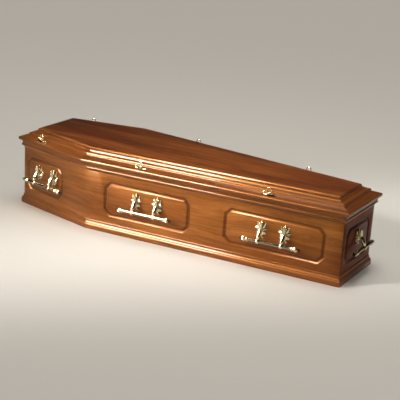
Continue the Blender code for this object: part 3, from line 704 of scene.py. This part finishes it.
for edge, place in enumerate(EDGE_NAMES):
    node = f"lid_moulding_{place}"
    length = mitred_length("milled_" + node, lid_section(), LID_PLAN, edge)
    dress_moulding(length, node, LID_PLAN, edge, LID_MOULDING_SEED + edge)


# Lid panel
# One flat veneered board, its upper edge rounded over, lying on the ledge of the mouldings.
# The veneer runs the whole length of the coffin.

LID_PANEL_INSET = 0.056
LID_PANEL_ROUND = 0.010
LID_PANEL_SEED = 40
panel_low, panel_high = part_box("lid_panel")
panel_outline = [corner_at(LID_PLAN, corner, -LID_PANEL_INSET) for corner in range(6)]
lid_panel = prism("veneered_lid_panel", panel_outline, panel_low.z, panel_high.z - panel_low.z)
only(lid_panel)
for vertex in lid_panel.data.vertices:
    vertex.select = vertex.co.z > panel_high.z - GAP
for line in lid_panel.data.edges:
    line.select = all(lid_panel.data.vertices[i].select for i in line.vertices)
for face in lid_panel.data.polygons:
    face.select = all(lid_panel.data.vertices[i].select for i in face.vertices)
bpy.ops.object.mode_set(mode="EDIT")
bpy.ops.mesh.bevel(offset=LID_PANEL_ROUND, segments=12, profile=0.5, affect="EDGES")
bpy.ops.object.mode_set(mode="OBJECT")
bpy.ops.object.shade_smooth_by_angle(angle=math.radians(SMOOTH_ANGLE))
middle_line = (Vector((1.0, 0.0)), Vector((0.0, 1.0)))
lay_grain(lid_panel, middle_line, Vector((0.0, 0.0)), LID_PANEL_SEED)
LID_VENEER = lacquered_mahogany(
    "lacquered_mahogany_lid_veneer", "#3a170a", "#6e3717", "#a05d2a", "#622611")
lid_panel.data.materials.append(LID_VENEER)
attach(lid_panel, "root")
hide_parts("lid_panel")


# Handles
# Three bar handles on each long side and one on each end, die-cast, brass-plated and
# lacquered. Each casting is a rosette of leaves screwed to the panel, with a tulip bud and
# an arm standing out from it, and the arms hold a slim bar with a fluted cap at each end.

GRIP_HEIGHT = 0.151
GRIP_REACH = 0.038
BAR_RADIUS = 0.0085
BAR_BORE = BAR_RADIUS + GAP
BAR_LENGTH = 0.314
BAR_SIDES = 48
END_BAR_LENGTH = 0.250
CAP_LENGTH = 0.046
CAP_RADIUS = 0.0125
CAP_NECK = 1.05
CAP_OUTLINE = (
    (0.00, 0.00), (0.30, 0.02), (0.52, 0.08), (0.56, 0.13), (0.50, 0.17), (0.74, 0.24),
    (0.93, 0.34), (1.00, 0.46), (0.96, 0.58), (0.82, 0.68), (0.74, 0.74), (0.78, 0.79),
    (0.95, 0.84), (0.98, 0.89), (0.90, 0.94),
)
FLUTES = 8
FLUTE_DEPTH = 0.20
FLUTE_START = 0.16
FLUTE_END = 0.72
BAR_BROWN_UP_TO = 0.83
BAR_DARK_CLEARS_OVER = 0.67
BAR_SMOOTH_ANGLE = 50
PLATE_SPACING = 0.122
PLATE_WIDTH = 0.066
PLATE_HEIGHT = 0.095
PLATE_RISE = 0.050
PLATE_LEAVES = 9
PLATE_LEAF_CURL = 0.0006
PLATE_SPREAD = 0.10
BOSS_SHARE = 0.62
BOSS_THICKNESS = 0.0062
BUD_REACH = 0.0165
BUD_TOP = 0.044
BUD_RADIUS = 0.0125
BUD_LEAVES = 6
BUD_LEAF_START = 0.006
BUD_LEAF_OUT = 0.0050
BUD_LEAF_SHARES = (0.90, 0.98)
STEM_END = 0.004
ARM_RADIUS = 0.0058
EYE_WALL = 0.0042
EYE_WIDTH = 0.015
EYE_FLATNESS = 1.5
HOLLOW_UP_TO = 0.0012
SHADE_CLEARS_OVER = 0.0062
CAST_SMOOTH_ANGLE = 40
HEAD_HANDLE_FROM_SHOULDER = 0.330
MIDDLE_HANDLE_FROM_SHOULDER = 0.350
FOOT_HANDLE_FROM_SHOULDER = 1.044

LEAF_FULLNESS = 0.8
LEAF_TIP = 0.03
LEAF_FOOT = 0.25
LEAF_RIB_HEIGHT = 0.10
LEAF_RIB_WIDTH = 0.22
LEAF_DROOP = 0.16


def polished_brass():
    """Pale lacquered brass plate: bright on every raised edge, with painted shade in the hollows.

    The casting's own "hollow" value, 0 in the depths and 1 on the raised parts, says where
    the painted shade falls.
    """
    material, tree, shader = new_material("polished_pale_brass")
    hollow = add_node(tree, "ShaderNodeAttribute", attribute_name="hollow").outputs["Fac"]
    place = add_node(tree, "ShaderNodeTexCoord").outputs["Object"]
    patina = add_node(tree, "ShaderNodeTexNoise", {"Vector": place, "Scale": 90.0, "Detail": 4.0})
    # Painted shade: low hollow values are painted near black-brown, high ones pale brass.
    ramp = add_node(tree, "ShaderNodeValToRGB", {"Fac": hollow})
    ramp.color_ramp.elements[0].position = 0.0
    ramp.color_ramp.elements[0].color = srgb("#2a2113")
    ramp.color_ramp.elements[1].position = 0.55
    ramp.color_ramp.elements[1].color = srgb("#dccfac")
    rough = add_node(tree, "ShaderNodeMapRange", {
        "Value": patina.outputs["Fac"], "From Min": 0.35, "From Max": 0.7,
        "To Min": 0.08, "To Max": 0.16})
    tree.links.new(ramp.outputs["Color"], shader.inputs["Base Color"])
    tree.links.new(rough.outputs[0], shader.inputs["Roughness"])
    shader.inputs["Metallic"].default_value = 1.0
    return material


BRASS = polished_brass()


def leaf(length, width, arch, curl, thickness=0.0013):
    """A pointed leaf up from the origin, facing -Y: ribbed, arched and curled at its tip."""
    bpy.ops.object.select_all(action="DESELECT")
    bpy.ops.mesh.primitive_grid_add(x_subdivisions=6, y_subdivisions=9, size=1.0)
    piece = bpy.context.object
    for vertex in piece.data.vertices:
        across = 2 * vertex.co.x
        along = vertex.co.y + 0.5
        swell = math.sin(math.pi * along**LEAF_FULLNESS)
        foot = LEAF_FOOT * (1 - along) ** 3
        half = width / 2 * ((1 - LEAF_TIP) * swell**LEAF_FULLNESS + LEAF_TIP + foot)
        rise = arch * swell + curl * along**4
        rib = LEAF_RIB_HEIGHT * width * math.exp(-((across / LEAF_RIB_WIDTH) ** 2)) * (1 - along)
        droop = LEAF_DROOP * width * across * across * math.sin(math.pi * along)
        vertex.co = (across * half, -rise - rib + droop, along * length)
    only(piece)
    apply_modifier(piece, "SOLIDIFY", thickness=thickness, offset=0.0)
    apply_modifier(piece, "SUBSURF", levels=1)
    return piece


def placed(piece, matrix):
    """Move the mesh of a piece, leaving its object at the origin."""
    piece.data.transform(matrix)
    return piece


def open_line(points):
    """A line of edges through points: a circle with its closing edge taken out."""
    bpy.ops.object.select_all(action="DESELECT")
    bpy.ops.mesh.primitive_circle_add(vertices=len(points), fill_type="NOTHING")
    piece = bpy.context.object
    bpy.ops.object.mode_set(mode="EDIT")
    bpy.ops.mesh.select_all(action="DESELECT")
    bpy.ops.object.mode_set(mode="OBJECT")
    piece.data.edges[len(points) - 1].select = True
    bpy.ops.object.mode_set(mode="EDIT")
    bpy.ops.mesh.delete(type="EDGE")
    bpy.ops.object.mode_set(mode="OBJECT")
    for vertex, point in zip(piece.data.vertices, points):
        vertex.co = point
    return piece


def round_rod(path, sides):
    """A closed rod along a path of points, each with its radius after its place."""
    piece = open_line([node[:3] for node in path])
    bpy.ops.object.convert(target="CURVE")
    piece.data.bevel_depth = 1.0
    piece.data.bevel_resolution = sides // 2 - 2
    piece.data.use_fill_caps = True
    for point, node in zip(piece.data.splines[0].points, path):
        point.radius = node[3]
    bpy.ops.object.convert(target="MESH")
    seal()
    return piece


def gather(name, pieces):
    """Join shapes into one piece of the cast."""
    bpy.ops.object.select_all(action="DESELECT")
    for piece in pieces:
        piece.select_set(True)
    bpy.context.view_layer.objects.active = pieces[0]
    bpy.ops.object.join()
    cast = bpy.context.object
    cast.name = name
    bpy.ops.object.shade_smooth_by_angle(angle=math.radians(CAST_SMOOTH_ANGLE))
    return cast


def mark_painted_light(cast, height_of):
    """Keep how far each point stands proud, from 0 to 1, for the brass's painted shade and
    reflection.
    """
    hollow = cast.data.attributes.new("hollow", "FLOAT", "POINT")
    for value, vertex in zip(hollow.data, cast.data.vertices):
        value.value = min(1.0, max(0.0, height_of(vertex.co)))


def plate_reach(angle):
    """Distance from the middle of a leaf plate to its edge, up being angle 0."""
    half_width = (1.0 + PLATE_SPREAD * math.cos(angle)) * PLATE_WIDTH / 2
    return math.hypot(math.sin(angle) * half_width, math.cos(angle) * PLATE_HEIGHT / 2)


def smooth_path(points, steps=5):
    """Points along a curve through the given ones, with whatever each carries."""
    padded = [points[0], *points, points[-1]]
    path = []
    for before, start, end, after in zip(padded, padded[1:], padded[2:], padded[3:]):
        for step in range(steps):
            t = step / steps
            path.append(tuple(
                0.5 * (2 * b + (c - a) * t + (2 * a - 5 * b + 4 * c - d) * t**2
                       + (3 * b - a - 3 * c + d) * t**3)
                for a, b, c, d in zip(before, start, end, after)
            ))
    return path + [tuple(points[-1])]


def casting():
    """Rosette, bud, arm and eye, with the back of the plate at Y = 0."""
    bpy.ops.object.select_all(action="DESELECT")
    bpy.ops.mesh.primitive_uv_sphere_add(segments=36, ring_count=16, radius=1.0)
    boss = bpy.context.object
    for vertex in boss.data.vertices:
        x, y, z = vertex.co
        vertex.co = (x * BOSS_SHARE * PLATE_WIDTH / 2, min(0.0, y * BOSS_THICKNESS),
                     z * BOSS_SHARE * PLATE_HEIGHT / 2)
    shapes = [boss]
    for share, arch, width, lift, start in ((0.80, 0.0026, 0.017, 0.0010, 0.5),
                                            (0.99, 0.0040, 0.018, 0.0016, 0.0)):
        for number in range(PLATE_LEAVES):
            turn = 2 * math.pi * (number + start) / PLATE_LEAVES
            spread = math.atan2(math.sin(turn) * PLATE_WIDTH, math.cos(turn) * PLATE_HEIGHT)
            petal = leaf(share * plate_reach(turn), width, arch, PLATE_LEAF_CURL)
            place = Matrix.Translation((0, -lift, 0)) @ Matrix.Rotation(spread, 4, "Y")
            shapes.append(placed(petal, place))
    stem = smooth_path([
        (0.0, -BUD_REACH, BUD_TOP - STEM_END, 0.25 * BUD_RADIUS),
        (0.0, -BUD_REACH, 0.70 * BUD_TOP, 0.80 * BUD_RADIUS),
        (0.0, -BUD_REACH, 0.25 * BUD_TOP, 0.86 * BUD_RADIUS),
        (0.0, -0.68 * GRIP_REACH, -0.14 * PLATE_RISE, 1.12 * ARM_RADIUS),
        (0.0, -0.98 * GRIP_REACH, -0.62 * PLATE_RISE, 0.92 * ARM_RADIUS),
        (0.0, -GRIP_REACH, -PLATE_RISE + STEM_END, ARM_RADIUS),
    ])
    shapes.append(round_rod(stem, sides=20))
    for number in range(BUD_LEAVES):
        height = BUD_TOP * BUD_LEAF_SHARES[number % 2]
        petal = leaf(height + BUD_LEAF_START, width=0.0150, arch=0.0036, curl=0.0034,
                     thickness=0.0011)
        place = Matrix.Translation((0.0, -BUD_REACH, -BUD_LEAF_START))
        place = place @ Matrix.Rotation(2 * math.pi * number / BUD_LEAVES, 4, "Z")
        shapes.append(placed(petal, place @ Matrix.Translation((0.0, -BUD_LEAF_OUT, 0.0))))
    tube = 0.5
    bpy.ops.object.select_all(action="DESELECT")
    bpy.ops.mesh.primitive_torus_add(
        location=(0.0, -GRIP_REACH, -PLATE_RISE), rotation=(0.0, math.pi / 2, 0.0),
        major_segments=40, minor_segments=20, major_radius=1.0, minor_radius=tube)
    eye = bpy.context.object
    bpy.ops.object.transform_apply()
    for vertex in eye.data.vertices:
        x, y, z = vertex.co - Vector((0.0, -GRIP_REACH, -PLATE_RISE))
        radius = math.hypot(y, z)
        across = (radius - 1.0) / tube
        stretch = (BAR_BORE + EYE_WALL / 2 * (1 + across)) / radius
        side = max(-1.0, min(1.0, EYE_FLATNESS * x / tube))
        vertex.co = (side * EYE_WIDTH / 2, y * stretch - GRIP_REACH, z * stretch - PLATE_RISE)
    shapes.append(eye)
    cast = gather("leaf_casting", shapes)
    for vertex in cast.data.vertices:
        vertex.co.y = min(0.0, vertex.co.y)
    # Painted shade: the deeper a point lies among the leaves, the darker it is painted.
    mark_painted_light(cast, lambda point: (abs(point.y) - HOLLOW_UP_TO) / SHADE_CLEARS_OVER)
    return cast


def bar(length):
    """A turned bar along X with fluted leafy caps at its ends, a painted dark reflection along its
    middle.

    The outline of a cap runs from its tip inwards, in shares of its radius and its length.
    """
    half = length / 2
    neck = BAR_RADIUS / CAP_RADIUS
    shares = (*CAP_OUTLINE, (neck, 1.0), (neck, CAP_NECK))
    outline = [(half - depth * CAP_LENGTH, 0.0, share * CAP_RADIUS) for share, depth in shares]
    outline += [(-x, y, z) for x, y, z in reversed(outline)]
    piece = open_line(outline)
    bpy.ops.object.mode_set(mode="EDIT")
    bpy.ops.mesh.select_all(action="SELECT")
    bpy.ops.mesh.spin(steps=BAR_SIDES, angle=2 * math.pi, center=(0.0, 0.0, 0.0),
                      axis=(1.0, 0.0, 0.0))
    bpy.ops.object.mode_set(mode="OBJECT")
    seal()
    flute_end = half - FLUTE_END * CAP_LENGTH
    flute_start = half - FLUTE_START * CAP_LENGTH
    for vertex in piece.data.vertices:
        place = (abs(vertex.co.x) - flute_end) / (flute_start - flute_end)
        if 0.0 < place < 1.0:
            turn = math.atan2(vertex.co.z, vertex.co.y)
            flute = math.sin(math.pi * place) * (0.5 + 0.5 * math.cos(FLUTES * turn)) ** 2
            vertex.co.y *= 1.0 - FLUTE_DEPTH * flute
            vertex.co.z *= 1.0 - FLUTE_DEPTH * flute
    bpy.ops.object.shade_smooth_by_angle(angle=math.radians(BAR_SMOOTH_ANGLE))
    # Painted reflection: the rod is painted darker than its caps, for the dark reflection along it.
    mark_painted_light(piece, lambda point: (
        (math.hypot(point.y, point.z) / BAR_RADIUS - BAR_BROWN_UP_TO) / BAR_DARK_CLEARS_OVER))
    return piece


def copy_of(model, name):
    """A copy of a finished shape with a mesh of its own."""
    only(model)
    bpy.ops.object.duplicate()
    piece = bpy.context.object
    piece.name = name
    return piece


def dress_brass(piece, node):
    """Give a brass piece its finish in place of the node."""
    piece.data.materials.append(BRASS)
    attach(piece, "root")
    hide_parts(node)


casting_model = casting()
side_bar_model = bar(BAR_LENGTH)
end_bar_model = bar(END_BAR_LENGTH)
for name, edge, along in (
    ("right_head", RIGHT_HEAD, HEAD_HANDLE_FROM_SHOULDER),
    ("right_middle", RIGHT_FOOT, MIDDLE_HANDLE_FROM_SHOULDER),
    ("right_foot", RIGHT_FOOT, FOOT_HANDLE_FROM_SHOULDER),
    ("left_head", LEFT_HEAD, HEAD_HANDLE_FROM_SHOULDER),
    ("left_middle", LEFT_FOOT, MIDDLE_HANDLE_FROM_SHOULDER),
    ("left_foot", LEFT_FOOT, FOOT_HANDLE_FROM_SHOULDER),
    ("head_end", HEAD_END, 0.0),
    ("foot_end", FOOT_END, 0.0),
):
    at_end = edge in (HEAD_END, FOOT_END)
    turned_bar = copy_of(end_bar_model if at_end else side_bar_model, f"turned_bar_{name}")
    placed(turned_bar, facing(BODY_PLAN, edge, along, GAP + GRIP_REACH, GRIP_HEIGHT))
    dress_brass(turned_bar, f"bar_{name}")
    plate_place = facing(BODY_PLAN, edge, along, GAP, GRIP_HEIGHT + PLATE_RISE)
    plates = {"": 0.0} if at_end else {"_1": -PLATE_SPACING / 2, "_2": PLATE_SPACING / 2}
    for number, shift in plates.items():
        node = f"casting_{name}{number}"
        leaf_casting = copy_of(casting_model, "leaf_" + node)
        placed(leaf_casting, plate_place @ Matrix.Translation((shift, 0.0, 0.0)))
        dress_brass(leaf_casting, node)
for model in (casting_model, side_bar_model, end_bar_model):
    bpy.data.objects.remove(model)


# Ring fittings on the lid
# Six small cast ornaments screwed to the flange of the lid, three on each long side: a
# scroll at one end of the base and a leaf at the other, and a flower in the middle with a
# ring standing up out of it.

FITTING_OFFSET = 0.003
FITTING_LENGTH = 0.075
FITTING_WIDTH = 0.021
FITTING_PAD = 0.005
PAD_WAIST = 0.26
PAD_NICKS = 0.12
PAD_NICK_RATE = 18
RING_RADIUS = 0.0125
RING_WIRE = 0.0021
RING_RISE = 0.0236
SCROLL_RADIUS = 0.0075
SCROLL_STEPS = 30
SCROLL_TURN = 2.6 * math.pi
SCROLL_START = 0.6 * math.pi
SCROLL_PLACE = -0.36
SCROLL_EYE = 0.22
SCROLL_GROWTH = 0.62
SCROLL_WIRE = 0.0012
SCROLL_WIRE_GROWTH = 0.0010
LEAF_LENGTH = 0.026
LEAF_PLACE = 0.10
BASE_TOP = 0.0030
FLOWER_PETALS = 6
PETAL_LENGTH = 0.0105
FLOWER_RISE = 0.0042
FLOWER_TILT = -62
FITTING_BROWN = 0.10
FITTING_SHADE_CLEARS_OVER = 0.006
HEAD_FITTING_FROM_SHOULDER = 0.346
MIDDLE_FITTING_FROM_SHOULDER = 0.336
FOOT_FITTING_FROM_SHOULDER = 1.035

flange_outer = LID_OVERHANG - FLANGE_NOSE
flange_low = FLANGE_EDGE_HEIGHT + FLANGE_NOSE
flange_grade = (FLANGE_RISE - flange_low) / (flange_outer + FLANGE_INNER)
FLANGE_TILT = math.atan(flange_grade)
FITTING_SEAT = LID_BOTTOM + flange_low + (flange_outer - FITTING_OFFSET) * flange_grade


def ring_fitting():
    """Base, scroll, leaf, flower and ring, with Z = 0 on the sloping flange."""
    bpy.ops.object.select_all(action="DESELECT")
    bpy.ops.mesh.primitive_uv_sphere_add(segments=48, ring_count=16, radius=1.0)
    pad = bpy.context.object
    for vertex in pad.data.vertices:
        x, y, z = vertex.co
        y *= 1.0 - PAD_WAIST + PAD_WAIST * math.cos(2 * math.pi * x)
        y *= 1.0 - PAD_NICKS * math.cos(PAD_NICK_RATE * x)
        vertex.co = (x * FITTING_LENGTH / 2, y * FITTING_WIDTH / 2, max(0.0, z) * FITTING_PAD)
    shapes = [placed(pad, Matrix.Rotation(FLANGE_TILT, 4, "X"))]
    scroll = []
    for step in range(SCROLL_STEPS + 1):
        share = step / SCROLL_STEPS
        turn = SCROLL_TURN * share - SCROLL_START
        reach = SCROLL_RADIUS * (SCROLL_EYE + SCROLL_GROWTH * share)
        scroll.append((SCROLL_PLACE * FITTING_LENGTH + reach * math.cos(turn), 0.0,
                       BASE_TOP + SCROLL_RADIUS - reach * math.sin(turn),
                       SCROLL_WIRE + SCROLL_WIRE_GROWTH * share))
    shapes.append(round_rod(scroll, sides=12))
    for fan, width, lean in ((-0.30, 0.010, 90), (0.0, 0.0095, 76), (0.30, 0.010, 90)):
        blade = leaf(LEAF_LENGTH, width, arch=0.0030, curl=0.0028, thickness=0.0012)
        place = Matrix.Translation((LEAF_PLACE * FITTING_LENGTH, 0.0, BASE_TOP))
        place = place @ Matrix.Rotation(fan, 4, "Z") @ Matrix.Rotation(math.radians(lean), 4, "Y")
        shapes.append(placed(blade, place @ Matrix.Rotation(math.pi / 2, 4, "Z")))
    for number in range(FLOWER_PETALS):
        petal = leaf(PETAL_LENGTH, width=0.0072, arch=0.0016, curl=0.0018, thickness=0.0010)
        place = Matrix.Translation((0.0, 0.0, FLOWER_RISE))
        place = place @ Matrix.Rotation(2 * math.pi * number / FLOWER_PETALS, 4, "Z")
        shapes.append(placed(petal, place @ Matrix.Rotation(math.radians(FLOWER_TILT), 4, "X")))
    stem_top = RING_RISE - RING_RADIUS + RING_WIRE / 2
    stem = smooth_path([(0.0, 0.0, 0.0020, 0.0056), (0.0, 0.0, 0.0060, 0.0036),
                        (0.0, 0.0, stem_top, 0.0026)])
    shapes.append(round_rod(stem, sides=16))
    bpy.ops.object.select_all(action="DESELECT")
    bpy.ops.mesh.primitive_torus_add(
        location=(0.0, 0.0, RING_RISE), rotation=(math.pi / 2, 0.0, 0.0),
        major_segments=48, minor_segments=14, major_radius=RING_RADIUS, minor_radius=RING_WIRE)
    ring = bpy.context.object
    bpy.ops.object.transform_apply()
    shapes.append(ring)
    fitting = gather("ring_ornament", shapes)
    # Painted shade: the ornament is painted darker low down, where it meets the flange.
    mark_painted_light(fitting, lambda point: FITTING_BROWN + (
        point.z + point.y * math.tan(FLANGE_TILT)) / FITTING_SHADE_CLEARS_OVER)
    return fitting


fitting_model = ring_fitting()
clearance = GAP / math.cos(FLANGE_TILT)
for side, head_edge, foot_edge in (("right", RIGHT_HEAD, RIGHT_FOOT),
                                   ("left", LEFT_HEAD, LEFT_FOOT)):
    for place, edge, along in (
        ("head", head_edge, HEAD_FITTING_FROM_SHOULDER),
        ("middle", foot_edge, MIDDLE_FITTING_FROM_SHOULDER),
        ("foot", foot_edge, FOOT_FITTING_FROM_SHOULDER),
    ):
        ornament = copy_of(fitting_model, f"ring_ornament_{side}_{place}")
        placed(ornament, facing(LID_PLAN, edge, along, FITTING_OFFSET, FITTING_SEAT + clearance))
        dress_brass(ornament, f"ring_fitting_{side}_{place}")
bpy.data.objects.remove(fitting_model)
